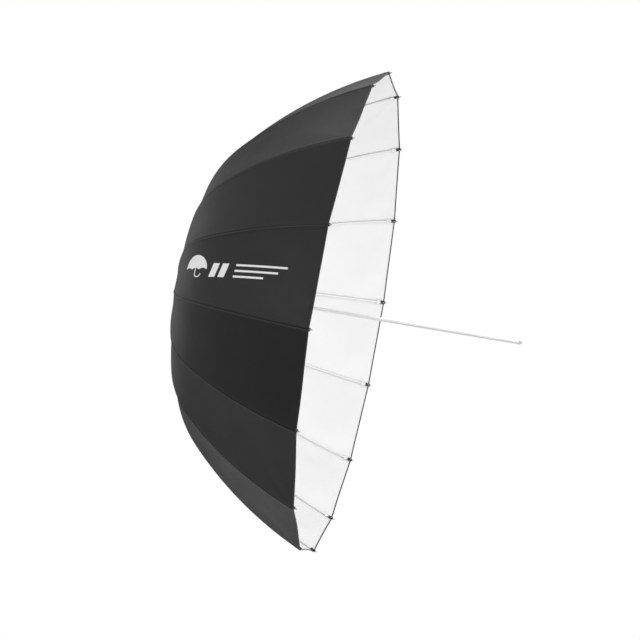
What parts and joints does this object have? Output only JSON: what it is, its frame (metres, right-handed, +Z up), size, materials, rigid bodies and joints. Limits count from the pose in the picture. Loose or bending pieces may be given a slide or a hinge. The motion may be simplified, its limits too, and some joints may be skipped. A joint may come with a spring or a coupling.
{
  "type": "umbrella reflector",
  "caption": "Deep parabolic photo umbrella with a black outside and a white inside, fibreglass ribs, a sliding runner with stretchers, and a round shaft that a light stand's bracket grips.",
  "frame": {"origin": "point on the shaft's axis where the stand's bracket grips it, 276 mm in front of the rim", "axes": "+X along the shaft, the way the mouth faces; +Z up through one rib; +Y across"},
  "size_m": [0.7606, 1.0502, 1.0502],
  "materials": {
    "rib_fibreglass": "light grey glass-fibre rod, slight sheen",
    "stretcher_steel": "plated steel strip, satin",
    "canopy_cloth": "tight woven cloth, black satin outside and matt white inside",
    "shaft_metal": "drawn silver tube, satin",
    "black_plastic": "moulded plastic, fine grain",
    "steel_wire": "bright drawn wire and pins"
  },
  "bodies": {
    "shaft": {"shaft": "shaft_metal", "shaft_end_cap": "black_plastic", "crown_notch": "black_plastic", "crown_wire": "steel_wire", "crown_cap": "black_plastic", "crown_pin": "steel_wire", "stop_clip": "steel_wire"},
    "runner": {"runner": "black_plastic", "runner_wire": "steel_wire", "lock_pin": "steel_wire", "lock_spring": "steel_wire"},
    "lock_lever": {"lock_lever": "steel_wire"},
    "rib_01": {"rib_01": "rib_fibreglass"},
    "stretcher_01": {"stretcher_01": "stretcher_steel"},
    "gore_01": {"gore_01": "canopy_cloth"},
    "rib_02": {"rib_02": "rib_fibreglass"},
    "stretcher_02": {"stretcher_02": "stretcher_steel"},
    "gore_02": {"gore_02": "canopy_cloth"},
    "rib_03": {"rib_03": "rib_fibreglass"},
    "stretcher_03": {"stretcher_03": "stretcher_steel"},
    "gore_03": {"gore_03": "canopy_cloth"},
    "rib_04": {"rib_04": "rib_fibreglass"},
    "stretcher_04": {"stretcher_04": "stretcher_steel"},
    "gore_04": {"gore_04": "canopy_cloth"},
    "rib_05": {"rib_05": "rib_fibreglass"},
    "stretcher_05": {"stretcher_05": "stretcher_steel"},
    "gore_05": {"gore_05": "canopy_cloth"},
    "rib_06": {"rib_06": "rib_fibreglass"},
    "stretcher_06": {"stretcher_06": "stretcher_steel"},
    "gore_06": {"gore_06": "canopy_cloth"},
    "rib_07": {"rib_07": "rib_fibreglass"},
    "stretcher_07": {"stretcher_07": "stretcher_steel"},
    "gore_07": {"gore_07": "canopy_cloth"},
    "rib_08": {"rib_08": "rib_fibreglass"},
    "stretcher_08": {"stretcher_08": "stretcher_steel"},
    "gore_08": {"gore_08": "canopy_cloth"},
    "rib_09": {"rib_09": "rib_fibreglass"},
    "stretcher_09": {"stretcher_09": "stretcher_steel"},
    "gore_09": {"gore_09": "canopy_cloth"},
    "rib_10": {"rib_10": "rib_fibreglass"},
    "stretcher_10": {"stretcher_10": "stretcher_steel"},
    "gore_10": {"gore_10": "canopy_cloth"},
    "rib_11": {"rib_11": "rib_fibreglass"},
    "stretcher_11": {"stretcher_11": "stretcher_steel"},
    "gore_11": {"gore_11": "canopy_cloth"},
    "rib_12": {"rib_12": "rib_fibreglass"},
    "stretcher_12": {"stretcher_12": "stretcher_steel"},
    "gore_12": {"gore_12": "canopy_cloth"},
    "rib_13": {"rib_13": "rib_fibreglass"},
    "stretcher_13": {"stretcher_13": "stretcher_steel"},
    "gore_13": {"gore_13": "canopy_cloth"},
    "rib_14": {"rib_14": "rib_fibreglass"},
    "stretcher_14": {"stretcher_14": "stretcher_steel"},
    "gore_14": {"gore_14": "canopy_cloth"},
    "rib_15": {"rib_15": "rib_fibreglass"},
    "stretcher_15": {"stretcher_15": "stretcher_steel"},
    "gore_15": {"gore_15": "canopy_cloth"},
    "rib_16": {"rib_16": "rib_fibreglass"},
    "stretcher_16": {"stretcher_16": "stretcher_steel"},
    "gore_16": {"gore_16": "canopy_cloth"}
  },
  "joints": [
    {"name": "runner_slide", "type": "slide", "parent": "shaft", "child": "runner", "axis": [1, 0, 0], "range_m": [0, 0.2308]},
    {"name": "lock_press", "type": "hinge", "parent": "runner", "child": "lock_lever", "pos_m": [-0.50614, 0, 0.0118], "axis": [0, 1, 0], "range_deg": [0, 6], "stiffness_Nm_per_rad": 0.06, "springref_deg": -5.73, "deforming": ["lock_spring"]},
    {"name": "rib_hinge_01", "type": "hinge", "parent": "shaft", "child": "rib_01", "pos_m": [-0.65337, 0, 0.014], "axis": [0, 1, 0], "range_deg": [0, 52.98]},
    {"name": "stretcher_hinge_01", "type": "hinge", "parent": "runner", "child": "stretcher_01", "pos_m": [-0.52414, 0, 0.014], "axis": [0, -1, 0], "range_deg": [0, 40.1]},
    {"name": "cloth_fold_01", "type": "hinge", "parent": "rib_01", "child": "gore_01", "pos_m": [-0.65337, 0.00279, 0.014], "axis": [0.4353, -0.1756, -0.883], "range_deg": [0, 20.29], "deforming": ["gore_01"]},
    {"name": "rib_hinge_02", "type": "hinge", "parent": "shaft", "child": "rib_02", "pos_m": [-0.65337, 0.00536, 0.01293], "axis": [0, 0.9239, -0.3827], "range_deg": [0, 52.98]},
    {"name": "stretcher_hinge_02", "type": "hinge", "parent": "runner", "child": "stretcher_02", "pos_m": [-0.52414, 0.00536, 0.01293], "axis": [0, -0.9239, 0.3827], "range_deg": [0, 40.1]},
    {"name": "cloth_fold_02", "type": "hinge", "parent": "rib_02", "child": "gore_02", "pos_m": [-0.65337, 0.00793, 0.01187], "axis": [0.4353, -0.5002, -0.7486], "range_deg": [0, 20.29], "deforming": ["gore_02"]},
    {"name": "rib_hinge_03", "type": "hinge", "parent": "shaft", "child": "rib_03", "pos_m": [-0.65337, 0.0099, 0.0099], "axis": [0, 0.7071, -0.7071], "range_deg": [0, 52.98]},
    {"name": "stretcher_hinge_03", "type": "hinge", "parent": "runner", "child": "stretcher_03", "pos_m": [-0.52414, 0.0099, 0.0099], "axis": [0, -0.7071, 0.7071], "range_deg": [0, 40.1]},
    {"name": "cloth_fold_03", "type": "hinge", "parent": "rib_03", "child": "gore_03", "pos_m": [-0.65337, 0.01187, 0.00793], "axis": [0.4353, -0.7486, -0.5002], "range_deg": [0, 20.29], "deforming": ["gore_03"]},
    {"name": "rib_hinge_04", "type": "hinge", "parent": "shaft", "child": "rib_04", "pos_m": [-0.65337, 0.01293, 0.00536], "axis": [0, 0.3827, -0.9239], "range_deg": [0, 52.98]},
    {"name": "stretcher_hinge_04", "type": "hinge", "parent": "runner", "child": "stretcher_04", "pos_m": [-0.52414, 0.01293, 0.00536], "axis": [0, -0.3827, 0.9239], "range_deg": [0, 40.1]},
    {"name": "cloth_fold_04", "type": "hinge", "parent": "rib_04", "child": "gore_04", "pos_m": [-0.65337, 0.014, 0.00279], "axis": [0.4353, -0.883, -0.1756], "range_deg": [0, 20.29], "deforming": ["gore_04"]},
    {"name": "rib_hinge_05", "type": "hinge", "parent": "shaft", "child": "rib_05", "pos_m": [-0.65337, 0.014, 0], "axis": [0, 0, -1], "range_deg": [0, 52.98]},
    {"name": "stretcher_hinge_05", "type": "hinge", "parent": "runner", "child": "stretcher_05", "pos_m": [-0.52414, 0.014, 0], "axis": [0, 0, 1], "range_deg": [0, 40.1]},
    {"name": "cloth_fold_05", "type": "hinge", "parent": "rib_05", "child": "gore_05", "pos_m": [-0.65337, 0.014, -0.00279], "axis": [0.4353, -0.883, 0.1756], "range_deg": [0, 20.29], "deforming": ["gore_05"]},
    {"name": "rib_hinge_06", "type": "hinge", "parent": "shaft", "child": "rib_06", "pos_m": [-0.65337, 0.01293, -0.00536], "axis": [0, -0.3827, -0.9239], "range_deg": [0, 52.98]},
    {"name": "stretcher_hinge_06", "type": "hinge", "parent": "runner", "child": "stretcher_06", "pos_m": [-0.52414, 0.01293, -0.00536], "axis": [0, 0.3827, 0.9239], "range_deg": [0, 40.1]},
    {"name": "cloth_fold_06", "type": "hinge", "parent": "rib_06", "child": "gore_06", "pos_m": [-0.65337, 0.01187, -0.00793], "axis": [0.4353, -0.7486, 0.5002], "range_deg": [0, 20.29], "deforming": ["gore_06"]},
    {"name": "rib_hinge_07", "type": "hinge", "parent": "shaft", "child": "rib_07", "pos_m": [-0.65337, 0.0099, -0.0099], "axis": [0, -0.7071, -0.7071], "range_deg": [0, 52.98]},
    {"name": "stretcher_hinge_07", "type": "hinge", "parent": "runner", "child": "stretcher_07", "pos_m": [-0.52414, 0.0099, -0.0099], "axis": [0, 0.7071, 0.7071], "range_deg": [0, 40.1]},
    {"name": "cloth_fold_07", "type": "hinge", "parent": "rib_07", "child": "gore_07", "pos_m": [-0.65337, 0.00793, -0.01187], "axis": [0.4353, -0.5002, 0.7486], "range_deg": [0, 20.29], "deforming": ["gore_07"]},
    {"name": "rib_hinge_08", "type": "hinge", "parent": "shaft", "child": "rib_08", "pos_m": [-0.65337, 0.00536, -0.01293], "axis": [0, -0.9239, -0.3827], "range_deg": [0, 52.98]},
    {"name": "stretcher_hinge_08", "type": "hinge", "parent": "runner", "child": "stretcher_08", "pos_m": [-0.52414, 0.00536, -0.01293], "axis": [0, 0.9239, 0.3827], "range_deg": [0, 40.1]},
    {"name": "cloth_fold_08", "type": "hinge", "parent": "rib_08", "child": "gore_08", "pos_m": [-0.65337, 0.00279, -0.014], "axis": [0.4353, -0.1756, 0.883], "range_deg": [0, 20.29], "deforming": ["gore_08"]},
    {"name": "rib_hinge_09", "type": "hinge", "parent": "shaft", "child": "rib_09", "pos_m": [-0.65337, 0, -0.014], "axis": [0, -1, 0], "range_deg": [0, 52.98]},
    {"name": "stretcher_hinge_09", "type": "hinge", "parent": "runner", "child": "stretcher_09", "pos_m": [-0.52414, 0, -0.014], "axis": [0, 1, 0], "range_deg": [0, 40.1]},
    {"name": "cloth_fold_09", "type": "hinge", "parent": "rib_09", "child": "gore_09", "pos_m": [-0.65337, -0.00279, -0.014], "axis": [0.4353, 0.1756, 0.883], "range_deg": [0, 20.29], "deforming": ["gore_09"]},
    {"name": "rib_hinge_10", "type": "hinge", "parent": "shaft", "child": "rib_10", "pos_m": [-0.65337, -0.00536, -0.01293], "axis": [0, -0.9239, 0.3827], "range_deg": [0, 52.98]},
    {"name": "stretcher_hinge_10", "type": "hinge", "parent": "runner", "child": "stretcher_10", "pos_m": [-0.52414, -0.00536, -0.01293], "axis": [0, 0.9239, -0.3827], "range_deg": [0, 40.1]},
    {"name": "cloth_fold_10", "type": "hinge", "parent": "rib_10", "child": "gore_10", "pos_m": [-0.65337, -0.00793, -0.01187], "axis": [0.4353, 0.5002, 0.7486], "range_deg": [0, 20.29], "deforming": ["gore_10"]},
    {"name": "rib_hinge_11", "type": "hinge", "parent": "shaft", "child": "rib_11", "pos_m": [-0.65337, -0.0099, -0.0099], "axis": [0, -0.7071, 0.7071], "range_deg": [0, 52.98]},
    {"name": "stretcher_hinge_11", "type": "hinge", "parent": "runner", "child": "stretcher_11", "pos_m": [-0.52414, -0.0099, -0.0099], "axis": [0, 0.7071, -0.7071], "range_deg": [0, 40.1]},
    {"name": "cloth_fold_11", "type": "hinge", "parent": "rib_11", "child": "gore_11", "pos_m": [-0.65337, -0.01187, -0.00793], "axis": [0.4353, 0.7486, 0.5002], "range_deg": [0, 20.29], "deforming": ["gore_11"]},
    {"name": "rib_hinge_12", "type": "hinge", "parent": "shaft", "child": "rib_12", "pos_m": [-0.65337, -0.01293, -0.00536], "axis": [0, -0.3827, 0.9239], "range_deg": [0, 52.98]},
    {"name": "stretcher_hinge_12", "type": "hinge", "parent": "runner", "child": "stretcher_12", "pos_m": [-0.52414, -0.01293, -0.00536], "axis": [0, 0.3827, -0.9239], "range_deg": [0, 40.1]},
    {"name": "cloth_fold_12", "type": "hinge", "parent": "rib_12", "child": "gore_12", "pos_m": [-0.65337, -0.014, -0.00279], "axis": [0.4353, 0.883, 0.1756], "range_deg": [0, 20.29], "deforming": ["gore_12"]},
    {"name": "rib_hinge_13", "type": "hinge", "parent": "shaft", "child": "rib_13", "pos_m": [-0.65337, -0.014, 0], "axis": [0, 0, 1], "range_deg": [0, 52.98]},
    {"name": "stretcher_hinge_13", "type": "hinge", "parent": "runner", "child": "stretcher_13", "pos_m": [-0.52414, -0.014, 0], "axis": [0, 0, -1], "range_deg": [0, 40.1]},
    {"name": "cloth_fold_13", "type": "hinge", "parent": "rib_13", "child": "gore_13", "pos_m": [-0.65337, -0.014, 0.00279], "axis": [0.4353, 0.883, -0.1756], "range_deg": [0, 20.29], "deforming": ["gore_13"]},
    {"name": "rib_hinge_14", "type": "hinge", "parent": "shaft", "child": "rib_14", "pos_m": [-0.65337, -0.01293, 0.00536], "axis": [0, 0.3827, 0.9239], "range_deg": [0, 52.98]},
    {"name": "stretcher_hinge_14", "type": "hinge", "parent": "runner", "child": "stretcher_14", "pos_m": [-0.52414, -0.01293, 0.00536], "axis": [0, -0.3827, -0.9239], "range_deg": [0, 40.1]},
    {"name": "cloth_fold_14", "type": "hinge", "parent": "rib_14", "child": "gore_14", "pos_m": [-0.65337, -0.01187, 0.00793], "axis": [0.4353, 0.7486, -0.5002], "range_deg": [0, 20.29], "deforming": ["gore_14"]},
    {"name": "rib_hinge_15", "type": "hinge", "parent": "shaft", "child": "rib_15", "pos_m": [-0.65337, -0.0099, 0.0099], "axis": [0, 0.7071, 0.7071], "range_deg": [0, 52.98]},
    {"name": "stretcher_hinge_15", "type": "hinge", "parent": "runner", "child": "stretcher_15", "pos_m": [-0.52414, -0.0099, 0.0099], "axis": [0, -0.7071, -0.7071], "range_deg": [0, 40.1]},
    {"name": "cloth_fold_15", "type": "hinge", "parent": "rib_15", "child": "gore_15", "pos_m": [-0.65337, -0.00793, 0.01187], "axis": [0.4353, 0.5002, -0.7486], "range_deg": [0, 20.29], "deforming": ["gore_15"]},
    {"name": "rib_hinge_16", "type": "hinge", "parent": "shaft", "child": "rib_16", "pos_m": [-0.65337, -0.00536, 0.01293], "axis": [0, 0.9239, 0.3827], "range_deg": [0, 52.98]},
    {"name": "stretcher_hinge_16", "type": "hinge", "parent": "runner", "child": "stretcher_16", "pos_m": [-0.52414, -0.00536, 0.01293], "axis": [0, -0.9239, -0.3827], "range_deg": [0, 40.1]},
    {"name": "cloth_fold_16", "type": "hinge", "parent": "rib_16", "child": "gore_16", "pos_m": [-0.65337, -0.00279, 0.014], "axis": [0.4353, 0.1756, -0.883], "range_deg": [0, 20.29], "deforming": ["gore_16"]}
  ],
  "couplings": [
    {"joint": "rib_hinge_01", "follows": "runner_slide", "rad_per_m": 3.9688},
    {"joint": "stretcher_hinge_01", "follows": "runner_slide", "rad_per_m": 2.9949},
    {"joint": "cloth_fold_01", "follows": "runner_slide", "rad_per_m": 1.4968},
    {"joint": "rib_hinge_02", "follows": "runner_slide", "rad_per_m": 3.9688},
    {"joint": "stretcher_hinge_02", "follows": "runner_slide", "rad_per_m": 2.9949},
    {"joint": "cloth_fold_02", "follows": "runner_slide", "rad_per_m": 1.4968},
    {"joint": "rib_hinge_03", "follows": "runner_slide", "rad_per_m": 3.9688},
    {"joint": "stretcher_hinge_03", "follows": "runner_slide", "rad_per_m": 2.9949},
    {"joint": "cloth_fold_03", "follows": "runner_slide", "rad_per_m": 1.4968},
    {"joint": "rib_hinge_04", "follows": "runner_slide", "rad_per_m": 3.9688},
    {"joint": "stretcher_hinge_04", "follows": "runner_slide", "rad_per_m": 2.9949},
    {"joint": "cloth_fold_04", "follows": "runner_slide", "rad_per_m": 1.4968},
    {"joint": "rib_hinge_05", "follows": "runner_slide", "rad_per_m": 3.9688},
    {"joint": "stretcher_hinge_05", "follows": "runner_slide", "rad_per_m": 2.9949},
    {"joint": "cloth_fold_05", "follows": "runner_slide", "rad_per_m": 1.4968},
    {"joint": "rib_hinge_06", "follows": "runner_slide", "rad_per_m": 3.9688},
    {"joint": "stretcher_hinge_06", "follows": "runner_slide", "rad_per_m": 2.9949},
    {"joint": "cloth_fold_06", "follows": "runner_slide", "rad_per_m": 1.4968},
    {"joint": "rib_hinge_07", "follows": "runner_slide", "rad_per_m": 3.9688},
    {"joint": "stretcher_hinge_07", "follows": "runner_slide", "rad_per_m": 2.9949},
    {"joint": "cloth_fold_07", "follows": "runner_slide", "rad_per_m": 1.4968},
    {"joint": "rib_hinge_08", "follows": "runner_slide", "rad_per_m": 3.9688},
    {"joint": "stretcher_hinge_08", "follows": "runner_slide", "rad_per_m": 2.9949},
    {"joint": "cloth_fold_08", "follows": "runner_slide", "rad_per_m": 1.4968},
    {"joint": "rib_hinge_09", "follows": "runner_slide", "rad_per_m": 3.9688},
    {"joint": "stretcher_hinge_09", "follows": "runner_slide", "rad_per_m": 2.9949},
    {"joint": "cloth_fold_09", "follows": "runner_slide", "rad_per_m": 1.4968},
    {"joint": "rib_hinge_10", "follows": "runner_slide", "rad_per_m": 3.9688},
    {"joint": "stretcher_hinge_10", "follows": "runner_slide", "rad_per_m": 2.9949},
    {"joint": "cloth_fold_10", "follows": "runner_slide", "rad_per_m": 1.4968},
    {"joint": "rib_hinge_11", "follows": "runner_slide", "rad_per_m": 3.9688},
    {"joint": "stretcher_hinge_11", "follows": "runner_slide", "rad_per_m": 2.9949},
    {"joint": "cloth_fold_11", "follows": "runner_slide", "rad_per_m": 1.4968},
    {"joint": "rib_hinge_12", "follows": "runner_slide", "rad_per_m": 3.9688},
    {"joint": "stretcher_hinge_12", "follows": "runner_slide", "rad_per_m": 2.9949},
    {"joint": "cloth_fold_12", "follows": "runner_slide", "rad_per_m": 1.4968},
    {"joint": "rib_hinge_13", "follows": "runner_slide", "rad_per_m": 3.9688},
    {"joint": "stretcher_hinge_13", "follows": "runner_slide", "rad_per_m": 2.9949},
    {"joint": "cloth_fold_13", "follows": "runner_slide", "rad_per_m": 1.4968},
    {"joint": "rib_hinge_14", "follows": "runner_slide", "rad_per_m": 3.9688},
    {"joint": "stretcher_hinge_14", "follows": "runner_slide", "rad_per_m": 2.9949},
    {"joint": "cloth_fold_14", "follows": "runner_slide", "rad_per_m": 1.4968},
    {"joint": "rib_hinge_15", "follows": "runner_slide", "rad_per_m": 3.9688},
    {"joint": "stretcher_hinge_15", "follows": "runner_slide", "rad_per_m": 2.9949},
    {"joint": "cloth_fold_15", "follows": "runner_slide", "rad_per_m": 1.4968},
    {"joint": "rib_hinge_16", "follows": "runner_slide", "rad_per_m": 3.9688},
    {"joint": "stretcher_hinge_16", "follows": "runner_slide", "rad_per_m": 2.9949},
    {"joint": "cloth_fold_16", "follows": "runner_slide", "rad_per_m": 1.4968}
  ]
}
